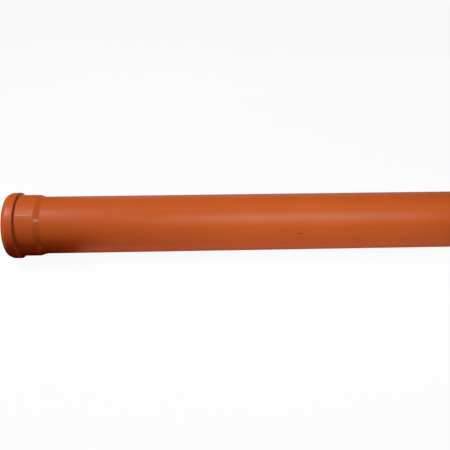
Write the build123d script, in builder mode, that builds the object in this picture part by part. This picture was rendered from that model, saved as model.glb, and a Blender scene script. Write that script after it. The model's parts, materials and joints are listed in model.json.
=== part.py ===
import os
from math import atan2, cos, radians, sin, tan

from build123d import *

# A sewer pipe with a push-fit socket formed on one end, and the sealing ring that the socket holds.
# All sizes are in millimetres.

# The extruded pipe
pipe_outer_diameter = 110.0
pipe_wall = 3.2
laying_length = 1000.0  # from the root of the socket to the plain end

# The chamfer that leads the plain end into the next socket
chamfer_length = 6.0
chamfer_angle = 15.0

# The socket, from its mouth to the plain pipe
mouth_clearance = 0.6  # all round, between the rim of the mouth and the pipe pushed into it
flare_angle = 25.0  # of the wall behind the mouth, to the axis
bead_width = 13.0  # of the bead's straight top
bead_height = 4.6  # of the bead above the sleeve
shoulder_length = 1.0
sleeve_clearance = 0.5  # all round, between the sleeve's bore and the pipe pushed into it
sleeve_length = 35.4
ramp_length = 10.8

# Outside radii of the socket's rim and of the bends in its wall
rim_rounding = 4.0
flare_bend = 9.0
bead_bend = 1.0
shoulder_bend = 2.0
ramp_bend = 4.0

# The sealing ring, in the groove that the bead makes inside
ring_clearance = 0.3  # between the ring and the groove
nose_setback = 1.0  # of the ring's front tip from the mouth's bore
lip_clearance = 0.3  # all round, between the pressed-back lip and the pipe pushed through it
lip_lead = 7.0
lip_overhang = 1.0
lip_thickness = 1.1
notch_opening = 1.6
notch_depth = 7.0

# Radii of the outer surface
pipe_radius = pipe_outer_diameter / 2
sleeve_radius = pipe_radius + sleeve_clearance + pipe_wall
bead_radius = sleeve_radius + bead_height
mouth_radius = pipe_radius + mouth_clearance
flare_rise = tan(radians(flare_angle))
rim_radius = mouth_radius + pipe_wall / cos(radians(flare_angle))
shoulder_slope = atan2(bead_height, shoulder_length)

# Distances along the axis, from the mouth
flare_end = (bead_radius - rim_radius) / flare_rise
bead_end = flare_end + bead_width
shoulder_end = bead_end + shoulder_length
sleeve_end = shoulder_end + sleeve_length
socket_depth = sleeve_end + ramp_length
overall_length = socket_depth + laying_length
chamfer_start = overall_length - chamfer_length

# The pipe lies on the back edge of its bead and on the rim where its chamfer starts
rest_tilt = atan2(bead_radius - pipe_radius, chamfer_start - bead_end)
axis_height = bead_radius * cos(rest_tilt) + bead_end * sin(rest_tilt)
pipe_plane = Plane(
    origin=(-overall_length * cos(rest_tilt) / 2, 0, axis_height),
    x_dir=(cos(rest_tilt), 0, -sin(rest_tilt)),
    z_dir=(0, -1, 0),
)
pipe_axis = Axis(pipe_plane.origin, pipe_plane.x_dir)

with BuildPart() as pipe:
    with BuildSketch(pipe_plane):
        with BuildLine():
            outside = FilletPolyline(
                (-pipe_wall, rim_radius - pipe_wall * flare_rise),
                (flare_end, bead_radius),
                (bead_end, bead_radius),
                (shoulder_end, sleeve_radius),
                (sleeve_end, sleeve_radius),
                (socket_depth, pipe_radius),
                (overall_length, pipe_radius),
                radius=[flare_bend, bead_bend, shoulder_bend, ramp_bend, ramp_bend],
            )
            offset(outside, amount=pipe_wall, side=Side.RIGHT)
        make_face()
        # The mouth is cut square to the axis
        Rectangle(2 * pipe_wall, 2 * bead_radius, align=(Align.MAX, Align.CENTER), mode=Mode.SUBTRACT)
    revolve(axis=pipe_axis)
    mouth_rim = pipe.edges().filter_by(GeomType.CIRCLE).group_by(pipe_axis)[0].sort_by(SortBy.RADIUS)[-1]
    fillet(mouth_rim, radius=rim_rounding)
    plain_end = pipe.edges().filter_by(GeomType.CIRCLE).group_by(pipe_axis)[-1].sort_by(SortBy.RADIUS)[-1]
    barrel = pipe.faces().filter_by(GeomType.CYLINDER).sort_by(SortBy.AREA)[-1]
    chamfer(plain_end, length=chamfer_length, length2=chamfer_length * tan(radians(chamfer_angle)), reference=barrel)

# The ring's front slopes with the flare, and its lip points towards the sleeve
ring_radius = bead_radius - pipe_wall - ring_clearance
nose_radius = mouth_radius + nose_setback
flare_gap = ring_clearance / sin(radians(flare_angle))
ring_front = nose_setback / flare_rise + flare_gap
heel_front = (ring_radius - mouth_radius) / flare_rise + flare_gap
groove_back = bead_end - pipe_wall * tan(shoulder_slope / 2)
ring_back = groove_back - ring_clearance
lip_radius = pipe_radius + lip_clearance
lip_back = ring_back + lip_overhang
lip_top = lip_radius + lip_thickness

with BuildPart() as sealing_ring:
    with BuildSketch(pipe_plane) as ring_section:
        with BuildLine():
            Polyline(
                (heel_front, ring_radius),
                (ring_front, nose_radius),
                (ring_front + lip_lead, lip_radius),
                (lip_back, lip_radius),
                (lip_back, lip_top),
                (ring_back - notch_depth, lip_top + notch_opening / 2),
                (ring_back, lip_top + notch_opening),
                (ring_back, ring_radius),
                close=True,
            )
        make_face()
        outer_front = ring_section.vertices().group_by(Axis.Y)[-1].sort_by(Axis.X)[0]
        fillet(outer_front, radius=flare_bend - pipe_wall)
    revolve(axis=pipe_axis)

pipe.part.label = "pipe"
sealing_ring.part.label = "sealing_ring"

os.makedirs("parts", exist_ok=True)
export_step(pipe.part, "parts/pipe.step")
export_step(sealing_ring.part, "parts/sealing_ring.step")
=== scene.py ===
import json
import math

import bpy
from mathutils import Euler, Matrix, Vector


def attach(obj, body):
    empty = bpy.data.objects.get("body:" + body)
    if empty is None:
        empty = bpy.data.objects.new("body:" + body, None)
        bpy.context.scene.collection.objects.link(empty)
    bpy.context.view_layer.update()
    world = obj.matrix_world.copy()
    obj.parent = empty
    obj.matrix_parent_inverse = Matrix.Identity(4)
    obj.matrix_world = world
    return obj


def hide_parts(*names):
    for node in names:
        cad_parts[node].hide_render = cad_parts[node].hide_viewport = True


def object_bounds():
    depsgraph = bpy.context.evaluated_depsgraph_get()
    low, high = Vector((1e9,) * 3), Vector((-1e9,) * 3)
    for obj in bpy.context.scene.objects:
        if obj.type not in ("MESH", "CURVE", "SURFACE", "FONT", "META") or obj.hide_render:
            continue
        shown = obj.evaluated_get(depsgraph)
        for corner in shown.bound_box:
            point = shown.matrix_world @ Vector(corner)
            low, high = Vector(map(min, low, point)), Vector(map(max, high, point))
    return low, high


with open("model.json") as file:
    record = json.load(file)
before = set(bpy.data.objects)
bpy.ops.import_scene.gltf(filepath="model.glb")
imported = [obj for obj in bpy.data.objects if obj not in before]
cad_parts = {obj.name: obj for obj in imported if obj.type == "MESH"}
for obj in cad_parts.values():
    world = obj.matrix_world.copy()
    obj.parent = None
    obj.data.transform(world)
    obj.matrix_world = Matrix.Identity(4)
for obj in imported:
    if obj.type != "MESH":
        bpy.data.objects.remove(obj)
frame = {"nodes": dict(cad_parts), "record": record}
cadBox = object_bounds()
print("frame loaded:", sorted(frame["nodes"]))

mm = 0.001  # the pipe's sizes below are in millimetres, the studio's and the scene's in metres


def toLinear(hexColour):
    channels = [int(hexColour[i:i + 2], 16) / 255 for i in (1, 3, 5)]
    return [c / 12.92 if c <= 0.04045 else ((c + 0.055) / 1.055) ** 2.4 for c in channels] + [1.0]


# An input's value may be another node's output, which is then linked. A Mix node takes numbers at 2 and 3,
# and colours at 6 and 7
def addNode(tree, kind, inputs=None, **settings):
    node = tree.nodes.new(kind)
    for name, value in settings.items():
        setattr(node, name, value)
    for name, value in (inputs or {}).items():
        if isinstance(value, bpy.types.NodeSocket):
            tree.links.new(value, node.inputs[name])
        else:
            node.inputs[name].default_value = value
    return node


def newMaterial(name):
    material = bpy.data.materials.new(name)
    material.use_nodes = True
    material.node_tree.nodes.clear()
    return material, material.node_tree


# The pipe's axis and radii come from the mounts, which are measured on the solids
mounts = {m["name"]: m for m in frame["record"]["mounts"]}
pipeRadius = mounts["spigot"]["dims"]["r_mm"]
boreRadius = mounts["waterway"]["dims"]["r_mm"]
sleeveBore = mounts["socket"]["dims"]["r_mm"]
wall = pipeRadius - boreRadius
axis = Vector(mounts["spigot"]["axis"])
plainEnd = Vector(mounts["waterway"]["pos_m"]) + axis * mounts["waterway"]["dims"]["length_mm"] * mm / 2
restTilt = math.atan2(-axis.z, axis.x)

socket = {  # from the mouth on, lengths along the axis. The bends' radii are those of the outside
    "mouthRadius": 55.6,
    "flareAngle": 25.0,
    "beadWidth": 13.0,
    "shoulderLength": 1.0,
    "sleeveLength": 35.4,
    "rampLength": 10.8,
    "rimRounding": 4.0,
    "flareBend": 9.0,
    "beadBend": 1.0,
    "shoulderBend": 2.0,
    "rampBend": 4.0,
}
barrel = {
    "layingLength": 1000.0,
    "chamferLength": 6.0,
    "chamferAngle": 15.0,
    "cutEdge": 0.3,  # the sawn rims are scraped just enough to take the burr off
    "rings": 12,
    "sides": 192,
}
turning = {  # for both pieces
    "arcSteps": 6,  # edges round each bend
    "weld": 0.001,
    "creaseAngle": 30.0,
}

beadRadius = (cadBox[1].y - cadBox[0].y) / mm / 2  # the bead is the widest part of the solid
sleeveRadius = sleeveBore + wall
flare = math.radians(socket["flareAngle"])
rimRadius = socket["mouthRadius"] + wall / math.cos(flare)
flareEnd = (beadRadius - rimRadius) / math.tan(flare)
beadEnd = flareEnd + socket["beadWidth"]
shoulderEnd = beadEnd + socket["shoulderLength"]
shoulderSlope = math.atan2(beadRadius - sleeveRadius, socket["shoulderLength"])
shoulderShift = wall * math.tan(shoulderSlope / 2)  # its inside corners lie this much nearer the mouth
sleeveEnd = shoulderEnd + socket["sleeveLength"]
socketDepth = sleeveEnd + socket["rampLength"]
overallLength = socketDepth + barrel["layingLength"]
mouthCentre = plainEnd - axis * overallLength * mm
restPlace = Matrix.Translation(mouthCentre) @ Euler((0, restTilt, 0)).to_matrix().to_4x4()


def roundedLoop(corners):  # corners are (along, radius, bend) round a closed section
    loop = []
    steps = turning["arcSteps"]
    for i, (along, radius, bend) in enumerate(corners):
        here = Vector((along, radius))
        back = (Vector(corners[i - 1][:2]) - here).normalized()
        ahead = (Vector(corners[(i + 1) % len(corners)][:2]) - here).normalized()
        if not bend:
            loop.append(here)
            continue
        half = back.angle(ahead) / 2
        centre = here + (back + ahead).normalized() * bend / math.sin(half)
        first = here + back * bend / math.tan(half) - centre
        last = here + ahead * bend / math.tan(half) - centre
        sweep = first.angle_signed(last)
        for k in range(steps + 1):
            turned = first.copy()
            turned.rotate(Matrix.Rotation(-sweep * k / steps, 2))
            loop.append(centre + turned)
    return loop


def turnPiece(name, loop, sides):  # a ring of edges, extruded round the section and closed on itself
    bpy.ops.object.select_all(action="DESELECT")
    start = loop[0]
    bpy.ops.mesh.primitive_circle_add(
        vertices=sides, radius=start.y * mm, location=(start.x * mm, 0, 0), rotation=(0, math.pi / 2, 0))
    piece = bpy.context.object
    piece.name = piece.data.name = name
    bpy.ops.object.transform_apply(location=True, rotation=True, scale=True)
    bpy.ops.object.mode_set(mode="EDIT")
    bpy.ops.mesh.select_all(action="SELECT")
    for here, ahead in zip(loop, loop[1:] + loop[:1]):
        grow = ahead.y / here.y
        bpy.ops.mesh.extrude_edges_move(TRANSFORM_OT_translate={"value": ((ahead.x - here.x) * mm, 0, 0)})
        bpy.ops.transform.resize(value=(1, grow, grow), center_override=(ahead.x * mm, 0, 0))
    bpy.ops.mesh.select_all(action="SELECT")
    bpy.ops.mesh.remove_doubles(threshold=turning["weld"] * mm)
    bpy.ops.mesh.normals_make_consistent(inside=False)
    bpy.ops.object.mode_set(mode="OBJECT")
    bpy.ops.object.shade_smooth_by_angle(angle=math.radians(turning["creaseAngle"]))
    piece.matrix_world = restPlace
    bpy.ops.object.transform_apply(location=True, rotation=True, scale=True)
    return piece


def pipeLoop():
    rampSlope = math.atan2(sleeveRadius - pipeRadius, socket["rampLength"])
    flareShift = wall * math.tan(flare / 2)  # the flare's inside corner lies further from it
    rampShift = wall * math.tan(rampSlope / 2)
    chamferStart = overallLength - barrel["chamferLength"]
    chamferDrop = barrel["chamferLength"] * math.tan(math.radians(barrel["chamferAngle"]))
    cut = barrel["cutEdge"]
    rings = barrel["rings"]
    stations = [socketDepth + (chamferStart - socketDepth) * k / rings for k in range(1, rings)]
    outside = [
        (0, rimRadius, socket["rimRounding"]),
        (flareEnd, beadRadius, socket["flareBend"]),
        (beadEnd, beadRadius, socket["beadBend"]),
        (shoulderEnd, sleeveRadius, socket["shoulderBend"]),
        (sleeveEnd, sleeveRadius, socket["rampBend"]),
        (socketDepth, pipeRadius, socket["rampBend"]),
        *[(s, pipeRadius, 0) for s in stations],
        (chamferStart, pipeRadius, 0),
        (overallLength, pipeRadius - chamferDrop, cut),
    ]
    inside = [
        (overallLength, boreRadius, cut),
        *[(s, boreRadius, 0) for s in reversed(stations)],
        (socketDepth - rampShift, boreRadius, socket["rampBend"] + wall),
        (sleeveEnd - rampShift, sleeveBore, socket["rampBend"] - wall),
        (shoulderEnd - shoulderShift, sleeveBore, socket["shoulderBend"] + wall),
        (beadEnd - shoulderShift, beadRadius - wall, 0),
        (flareEnd + flareShift, beadRadius - wall, socket["flareBend"] - wall),
        (0, socket["mouthRadius"], cut),
    ]
    return roundedLoop(outside + inside)


pipePiece = turnPiece("pipe_wall", pipeLoop(), barrel["sides"])
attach(pipePiece, "root")
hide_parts("pipe")
print("pipe turned:", len(pipePiece.data.polygons), "faces")


# Extruded PVC-U, pulled lengthwise through the die: an even satin skin with faint streaks along the pipe,
# soft broad highlights, and paler dull plastic wherever a blade has cut it. Real die lines are finer than
# these streaks, and would not show
pvc = {
    "skinDark": "#cb5922",
    "skinLight": "#d15f27",
    "cut": "#d0703f",
    # dark tint of real scrapes and dots, also used for lines of painted shade
    "scrape": "#5a1a06",
    "gouge": "#940e00",
    # pale tint that paints highlights onto the sleeve and the ramp
    "worn": "#ec966c",
    "roughness": 0.40,
    "streakRoughness": 0.05,
    "cutRoughness": 0.62,
    "ior": 1.53,
    "gloss": 0.24,
    "mottle": {"size": 70.0, "detail": 3.0, "roughness": 0.6},
    "streaks": {"width": 5.0, "length": 700.0, "detail": 4.0, "roughness": 0.55},
    "grain": {"size": 1.6, "detail": 2.0, "roughness": 0.5, "share": 0.4},
    "shadeRange": (0.7, 1.3),  # of mottle and streaks together, from the dark skin to the light one
    "dullRange": (0.3, 0.7),  # of the streaks, from the smoothest to the roughest
    "skinDepth": 0.02,
    "cutMargin": 0.05,  # the cut plastic's tint stops this far from the bore
    "markCore": 0.6,  # a mark is whole within this share of its size
    "markFringe": 1.3,  # and gone past this one
}

# Handling and forming marks, and lines and a patch of painted highlight and painted shade: how far along
# the pipe they are, and how many degrees from its top towards -Y, how large each way from their middle, how
# many degrees they lean in a millimetre, how much they rise, and how much of which tint they take
marks = {
    "nick": {
        "along": 552.3, "half": 4.6, "angle": 82.7, "width": 1.05, "lean": -0.08, "rise": -0.05,
        "tint": "gouge", "share": 0.95},
    "nickTail": {
        "along": 549.3, "half": 1.5, "angle": 84.8, "width": 0.9, "lean": 0.0, "rise": 0.0,
        "tint": "gouge", "share": 0.4},
    # a pale line painted along the sleeve as a highlight, over a slight raised ridge of bump
    "seamLine": {
        "along": 41.5, "half": 14.5, "angle": 39.8, "width": 0.8, "lean": 0.0, "rise": 0.25,
        "tint": "worn", "share": 0.9},
    # painted shade just below that pale line
    "seamFoot": {
        "along": 41.5, "half": 15.0, "angle": 42.2, "width": 0.7, "lean": 0.0, "rise": 0.0,
        "tint": "scrape", "share": 0.12},
    # a thin dark line painted where the sleeve's highlight band ends, as the edge of a reflection
    "fineLine": {
        "along": 44.5, "half": 14.5, "angle": 47.7, "width": 0.7, "lean": 0.0, "rise": 0.0,
        "tint": "scrape", "share": 0.2},
    "frontDot": {
        "along": 12.2, "half": 1.3, "angle": 39.5, "width": 0.7, "lean": 0.0, "rise": 0.0,
        "tint": "scrape", "share": 0.5},
    "backDot": {
        "along": 19.2, "half": 1.3, "angle": 39.5, "width": 0.6, "lean": 0.0, "rise": 0.0,
        "tint": "scrape", "share": 0.4},
    # a pale patch painted on the ramp as a highlight
    "rampRub": {
        "along": 63.5, "half": 4.5, "angle": 49.4, "width": 2.6, "lean": 0.0, "rise": 0.0,
        "tint": "worn", "share": 0.75},
}


def pipeCoordinates(tree):  # millimetres from the mouth, along the pipe's own axis
    place = addNode(tree, "ShaderNodeTexCoord")
    local = addNode(tree, "ShaderNodeMapping", {
        "Vector": place.outputs["Object"],
        "Location": mouthCentre,
        "Rotation": (0, restTilt, 0),
        "Scale": (mm, mm, mm),
    }, vector_type="TEXTURE")
    parts = addNode(tree, "ShaderNodeSeparateXYZ", {0: local.outputs[0]})
    across = addNode(tree, "ShaderNodeCombineXYZ", {"Y": parts.outputs["Y"], "Z": parts.outputs["Z"]})
    radius = addNode(tree, "ShaderNodeVectorMath", {0: across.outputs[0]}, operation="LENGTH")
    forward = addNode(tree, "ShaderNodeMath", {0: parts.outputs["Y"], 1: -1.0}, operation="MULTIPLY")
    turn = addNode(tree, "ShaderNodeMath", {
        0: forward.outputs[0], 1: parts.outputs["Z"]}, operation="ARCTAN2")
    degrees = addNode(tree, "ShaderNodeMath", {0: turn.outputs[0]}, operation="DEGREES")
    return {
        "place": local.outputs[0],
        "along": parts.outputs["X"],
        "radius": radius.outputs["Value"],
        "angle": degrees.outputs[0],
    }


def markMask(tree, at, mark):  # 1 on the mark, falling to 0 round it
    fromMiddle = addNode(tree, "ShaderNodeMath", {0: at["along"], 1: mark["along"]}, operation="SUBTRACT")
    lean = addNode(tree, "ShaderNodeMath", {
        0: fromMiddle.outputs[0], 1: mark["lean"], 2: mark["angle"]}, operation="MULTIPLY_ADD")
    aside = addNode(tree, "ShaderNodeMath", {0: at["angle"], 1: lean.outputs[0]}, operation="SUBTRACT")
    masks = []
    for offset, half in ((fromMiddle, mark["half"]), (aside, mark["width"])):
        distance = addNode(tree, "ShaderNodeMath", {0: offset.outputs[0]}, operation="ABSOLUTE")
        masks.append(addNode(tree, "ShaderNodeMapRange", {
            "Value": distance.outputs[0],
            "From Min": half * pvc["markCore"],
            "From Max": half * pvc["markFringe"],
            "To Min": 1.0,
            "To Max": 0.0,
        }, interpolation_type="SMOOTHSTEP"))
    outside = addNode(tree, "ShaderNodeMath", {
        0: at["radius"], 1: pipeRadius - wall / 2}, operation="GREATER_THAN")
    both = addNode(tree, "ShaderNodeMath", {
        0: masks[0].outputs[0], 1: masks[1].outputs[0]}, operation="MULTIPLY")
    mask = addNode(tree, "ShaderNodeMath", {
        0: both.outputs[0], 1: outside.outputs[0]}, operation="MULTIPLY")
    return mask.outputs[0]


def cutMask(tree, at):  # the chamfer and the sawn end
    past = addNode(tree, "ShaderNodeMath", {
        0: at["along"], 1: overallLength - barrel["chamferLength"]}, operation="GREATER_THAN")
    clear = addNode(tree, "ShaderNodeMath", {
        0: at["radius"], 1: boreRadius + pvc["cutMargin"]}, operation="GREATER_THAN")
    mask = addNode(tree, "ShaderNodeMath", {
        0: past.outputs[0], 1: clear.outputs[0]}, operation="MULTIPLY")
    return mask.outputs[0]


def pvcMaterial():
    material, tree = newMaterial("extruded_pvc_u")
    at = pipeCoordinates(tree)
    cut = cutMask(tree, at)
    masks = {name: markMask(tree, at, mark) for name, mark in marks.items()}

    mottle = addNode(tree, "ShaderNodeTexNoise", {
        "Vector": at["place"],
        "Scale": 1 / pvc["mottle"]["size"],
        "Detail": pvc["mottle"]["detail"],
        "Roughness": pvc["mottle"]["roughness"],
    })
    across = 1 / pvc["streaks"]["width"]
    drawn = addNode(tree, "ShaderNodeMapping", {
        "Vector": at["place"], "Scale": (1 / pvc["streaks"]["length"], across, across)})
    streaks = addNode(tree, "ShaderNodeTexNoise", {
        "Vector": drawn.outputs[0],
        "Scale": 1.0,
        "Detail": pvc["streaks"]["detail"],
        "Roughness": pvc["streaks"]["roughness"],
    })
    grain = addNode(tree, "ShaderNodeTexNoise", {
        "Vector": at["place"],
        "Scale": 1 / pvc["grain"]["size"],
        "Detail": pvc["grain"]["detail"],
        "Roughness": pvc["grain"]["roughness"],
    })

    shade = addNode(tree, "ShaderNodeMath", {
        0: mottle.outputs["Fac"], 1: streaks.outputs["Fac"]}, operation="ADD")
    spread = addNode(tree, "ShaderNodeMapRange", {
        "Value": shade.outputs[0], "From Min": pvc["shadeRange"][0], "From Max": pvc["shadeRange"][1]})
    skin = addNode(tree, "ShaderNodeMix", {
        0: spread.outputs[0],
        6: toLinear(pvc["skinDark"]),
        7: toLinear(pvc["skinLight"]),
    }, data_type="RGBA")
    colour = addNode(tree, "ShaderNodeMix", {
        0: cut, 6: skin.outputs[2], 7: toLinear(pvc["cut"])}, data_type="RGBA")
    # each mark's tint is mixed into the colour: the real nick and dots, and also the painted highlights and
    # painted shade lines
    for name, mark in marks.items():
        strength = addNode(tree, "ShaderNodeMath", {
            0: masks[name], 1: mark["share"]}, operation="MULTIPLY")
        colour = addNode(tree, "ShaderNodeMix", {
            0: strength.outputs[0],
            6: colour.outputs[2],
            7: toLinear(pvc[mark["tint"]]),
        }, data_type="RGBA")

    dull = addNode(tree, "ShaderNodeMapRange", {
        "Value": streaks.outputs["Fac"],
        "From Min": pvc["dullRange"][0],
        "From Max": pvc["dullRange"][1],
        "To Min": pvc["roughness"] - pvc["streakRoughness"],
        "To Max": pvc["roughness"] + pvc["streakRoughness"],
    })
    roughness = addNode(tree, "ShaderNodeMix", {
        0: cut, 2: dull.outputs[0], 3: pvc["cutRoughness"]}, data_type="FLOAT")

    relief = addNode(tree, "ShaderNodeMath", {
        0: grain.outputs["Fac"],
        1: pvc["grain"]["share"],
        2: streaks.outputs["Fac"],
    }, operation="MULTIPLY_ADD")
    bump = addNode(tree, "ShaderNodeBump", {
        "Height": relief.outputs[0], "Strength": 1.0, "Distance": pvc["skinDepth"] * mm})
    for name, mark in marks.items():
        if mark["rise"]:
            bump = addNode(tree, "ShaderNodeBump", {
                "Height": masks[name],
                "Strength": 1.0,
                "Distance": mark["rise"] * mm,
                "Normal": bump.outputs[0],
            })

    shader = addNode(tree, "ShaderNodeBsdfPrincipled", {
        "Base Color": colour.outputs[2],
        "Roughness": roughness.outputs[0],
        "IOR": pvc["ior"],
        "Specular IOR Level": pvc["gloss"],
        "Normal": bump.outputs[0],
    })
    addNode(tree, "ShaderNodeOutputMaterial", {"Surface": shader.outputs["BSDF"]})
    return material


pipePiece.data.materials.append(pvcMaterial())
print("pipe material made")


ring = {  # its section, in the groove inside the bead
    "clearance": 0.3,
    "noseSetback": 1.0,
    "lead": 7.0,
    "lipRadius": 55.3,
    "lipOverhang": 1.0,
    "lipThickness": 1.1,
    "notchDepth": 7.0,
    "notchOpening": 1.6,
    "edge": 0.4,
    "sides": 160,
}


def ringLoop():
    outerRadius = beadRadius - wall - ring["clearance"]
    flareGap = ring["clearance"] / math.sin(flare)
    front = ring["noseSetback"] / math.tan(flare) + flareGap
    heelFront = (outerRadius - socket["mouthRadius"]) / math.tan(flare) + flareGap
    back = beadEnd - shoulderShift - ring["clearance"]
    lipBack = back + ring["lipOverhang"]
    lipTop = ring["lipRadius"] + ring["lipThickness"]
    edge = ring["edge"]
    corners = [
        (heelFront, outerRadius, socket["flareBend"] - wall),
        (back, outerRadius, edge),
        (back, lipTop + ring["notchOpening"], edge),
        (back - ring["notchDepth"], lipTop + ring["notchOpening"] / 2, 0),
        (lipBack, lipTop, edge),
        (lipBack, ring["lipRadius"], edge),
        (front + ring["lead"], ring["lipRadius"], edge),
        (front, socket["mouthRadius"] + ring["noseSetback"], edge),
    ]
    return roundedLoop(corners)


ringPiece = turnPiece("lip_seal", ringLoop(), ring["sides"])
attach(ringPiece, "root")
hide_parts("sealing_ring")
print("ring turned:", len(ringPiece.data.polygons), "faces")


# Moulded SBR rubber: near black and matt, with a greyish bloom and the grain of its mould
rubber = {
    "black": "#121212",
    "bloom": "#2a2927",
    "roughness": 0.62,
    "ior": 1.52,
    "haze": {"size": 9.0, "detail": 5.0, "roughness": 0.65},
    "hazeRange": (0.45, 0.75),  # from bare rubber to full bloom
    "grain": {"size": 0.5, "detail": 2.0},
    "grainDepth": 0.02,
}


def rubberMaterial():
    material, tree = newMaterial("moulded_sbr_rubber")
    at = pipeCoordinates(tree)
    haze = addNode(tree, "ShaderNodeTexNoise", {
        "Vector": at["place"],
        "Scale": 1 / rubber["haze"]["size"],
        "Detail": rubber["haze"]["detail"],
        "Roughness": rubber["haze"]["roughness"],
    })
    patch = addNode(tree, "ShaderNodeMapRange", {
        "Value": haze.outputs["Fac"],
        "From Min": rubber["hazeRange"][0],
        "From Max": rubber["hazeRange"][1],
    })
    colour = addNode(tree, "ShaderNodeMix", {
        0: patch.outputs[0],
        6: toLinear(rubber["black"]),
        7: toLinear(rubber["bloom"]),
    }, data_type="RGBA")
    grain = addNode(tree, "ShaderNodeTexNoise", {
        "Vector": at["place"],
        "Scale": 1 / rubber["grain"]["size"],
        "Detail": rubber["grain"]["detail"],
    })
    bump = addNode(tree, "ShaderNodeBump", {
        "Height": grain.outputs["Fac"], "Strength": 1.0, "Distance": rubber["grainDepth"] * mm})
    shader = addNode(tree, "ShaderNodeBsdfPrincipled", {
        "Base Color": colour.outputs[2],
        "Roughness": rubber["roughness"],
        "IOR": rubber["ior"],
        "Normal": bump.outputs[0],
    })
    addNode(tree, "ShaderNodeOutputMaterial", {"Surface": shader.outputs["BSDF"]})
    return material


ringPiece.data.materials.append(rubberMaterial())
print("ring material made")


# The floor is white paper that the camera sees bright. It takes a faint shadow and throws warm light back
studio = {
    "floorSize": 14.0,
    "paper": "#f3f3f3",
    "paperBounce": "#f3cebb",
    "paperGlow": 0.94,
    "ambient": 0.01,
}

# Boards on the floor, out of the camera's sight: one keeps the floor's light off the socket end, and
# the other is what the rest of the pipe reflects. Their lift is in millimetres
boards = {
    "dark": {
        "left": -1.70, "right": -0.42, "front": -1.20, "behind": 0.0, "frontCorner": 0.32,
        "lift": 2.0, "paint": "#6b1c1a", "inReflectionsOnly": False},
    "cream": {
        "left": -1.70, "right": 1.70, "front": -1.50, "behind": 1.50, "frontCorner": 0.0,
        "lift": 1.5, "paint": "#f3e5c3", "inReflectionsOnly": True},
}


def paperMaterial():
    material, tree = newMaterial("white_paper")
    path = addNode(tree, "ShaderNodeLightPath")
    seen = addNode(tree, "ShaderNodeMath", {
        0: path.outputs["Is Camera Ray"], 1: path.outputs["Is Glossy Ray"]}, operation="MAXIMUM")
    through = addNode(tree, "ShaderNodeMath", {
        0: seen.outputs[0], 1: path.outputs["Is Transmission Ray"]}, operation="MAXIMUM")
    share = addNode(tree, "ShaderNodeMath", {
        0: through.outputs[0], 1: studio["paperGlow"]}, operation="MULTIPLY")
    colour = addNode(tree, "ShaderNodeMix", {
        0: through.outputs[0],
        6: toLinear(studio["paperBounce"]),
        7: toLinear(studio["paper"]),
    }, data_type="RGBA")
    paper = addNode(tree, "ShaderNodeBsdfDiffuse", {"Color": colour.outputs[2]})
    glow = addNode(tree, "ShaderNodeEmission", {"Color": (1, 1, 1, 1), "Strength": 1.0})
    mix = addNode(tree, "ShaderNodeMixShader", {
        0: share.outputs[0], 1: paper.outputs[0], 2: glow.outputs[0]})
    addNode(tree, "ShaderNodeOutputMaterial", {"Surface": mix.outputs[0]})
    return material


def makeFloor():
    bpy.ops.object.select_all(action="DESELECT")
    bpy.ops.mesh.primitive_plane_add(size=studio["floorSize"], location=(0, 0, cadBox[0].z))
    floor = bpy.context.object
    floor.name = "floor"
    bpy.ops.object.transform_apply(location=True, rotation=True, scale=True)
    floor.data.materials.append(paperMaterial())


def makeBoards():
    for name, board in boards.items():
        bpy.ops.object.select_all(action="DESELECT")
        middle = ((board["left"] + board["right"]) / 2, (board["front"] + board["behind"]) / 2)
        bpy.ops.mesh.primitive_plane_add(size=1.0)
        sheet = bpy.context.object
        sheet.name = name + "_board"
        sheet.scale = (board["right"] - board["left"], board["behind"] - board["front"], 1.0)
        sheet.location = (*middle, cadBox[0].z + board["lift"] * mm)
        bpy.ops.object.transform_apply(location=True, rotation=True, scale=True)
        for vertex in sheet.data.vertices:
            if vertex.co.x > middle[0] and vertex.co.y < middle[1]:
                vertex.co.x += board["frontCorner"]
        material, tree = newMaterial(name + "_paint")
        paint = addNode(tree, "ShaderNodeBsdfDiffuse", {"Color": toLinear(board["paint"])})
        clear = addNode(tree, "ShaderNodeBsdfTransparent")
        side = addNode(tree, "ShaderNodeNewGeometry")
        facing = addNode(tree, "ShaderNodeMixShader", {
            0: side.outputs["Backfacing"], 1: paint.outputs[0], 2: clear.outputs[0]})
        addNode(tree, "ShaderNodeOutputMaterial", {"Surface": facing.outputs[0]})
        sheet.data.materials.append(material)
        sheet.visible_camera = False
        sheet.visible_shadow = False
        sheet.visible_diffuse = not board["inReflectionsOnly"]


def makeWorld():
    world = bpy.data.worlds.new("studio")
    bpy.context.scene.world = world
    world.use_nodes = True
    tree = world.node_tree
    tree.nodes.clear()
    path = addNode(tree, "ShaderNodeLightPath")
    strength = addNode(tree, "ShaderNodeMapRange", {
        "Value": path.outputs["Is Camera Ray"],
        "To Min": studio["ambient"],
        "To Max": studio["paperGlow"],
    })
    sky = addNode(tree, "ShaderNodeBackground", {"Color": (1, 1, 1, 1), "Strength": strength.outputs[0]})
    addNode(tree, "ShaderNodeOutputWorld", {"Surface": sky.outputs[0]})


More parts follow.
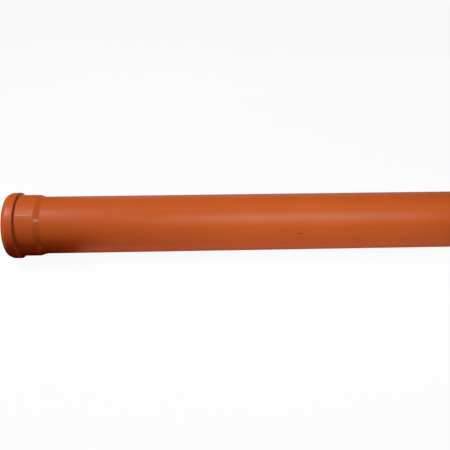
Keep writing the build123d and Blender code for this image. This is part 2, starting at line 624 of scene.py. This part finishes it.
# Area lamps: where they are and aim, their size, how many degrees they spread, and their light
lamps = {
    "left": {
        "at": (-1.36, -0.30, 1.60), "to": (-0.40, 0.0, 0.06), "size": (0.5, 0.4), "spread": 180,
        "watts": 28.0, "tint": "#ffffff"},
    "front": {
        "at": (0.13, -0.51, 0.61), "to": (0.13, 0.0, 0.06), "size": (0.75, 0.26), "spread": 100,
        "watts": 1.2, "tint": "#edffff"},
    "right": {
        "at": (1.30, 0.0, 0.13), "to": (0.56, 0.0, 0.06), "size": (0.2, 0.2), "spread": 60,
        "watts": 0.12, "tint": "#ffffff"},
    "back": {
        "at": (0.10, 1.30, 0.40), "to": (0.10, 0.0, 0.06), "size": (1.6, 0.4), "spread": 180,
        "watts": 1.5, "tint": "#ffffff"},
}


def makeLamps():
    for name, lamp in lamps.items():
        light = bpy.data.lights.new(name, "AREA")
        light.shape = "RECTANGLE"
        light.size, light.size_y = lamp["size"]
        light.spread = math.radians(lamp["spread"])
        light.energy = lamp["watts"]
        light.color = toLinear(lamp["tint"])[:3]
        holder = bpy.data.objects.new(name, light)
        bpy.context.scene.collection.objects.link(holder)
        at, to = Vector(lamp["at"]), Vector(lamp["to"])
        holder.location = at
        holder.rotation_euler = (to - at).to_track_quat("-Z", "Y").to_euler()
        holder.visible_camera = False


makeFloor()
makeBoards()
makeWorld()
makeLamps()
print("studio lit")


# Fitted to the outline of the pipe in the picture, whose frame is square. The place is in millimetres,
# the angles in radians
view = {
    "at": (-158.4, -922.1, 631.6),
    "heading": 0.0409,
    "lookDown": 0.5591,
    "focalPixels": 553.5,
    "framePixels": 450,
    "sensorWidth": 36.0,
    "nearest": 10.0,
}


def makeCamera():
    lens = bpy.data.cameras.new("camera")
    lens.sensor_width = view["sensorWidth"]
    lens.lens = view["focalPixels"] / view["framePixels"] * view["sensorWidth"]
    lens.clip_start = view["nearest"] * mm
    holder = bpy.data.objects.new("camera", lens)
    bpy.context.scene.collection.objects.link(holder)
    holder.location = Vector(view["at"]) * mm
    holder.rotation_euler = (math.pi / 2 - view["lookDown"], 0, -view["heading"])
    bpy.context.scene.camera = holder


makeCamera()
bpy.context.scene.view_settings.view_transform = "Standard"
print("camera set")
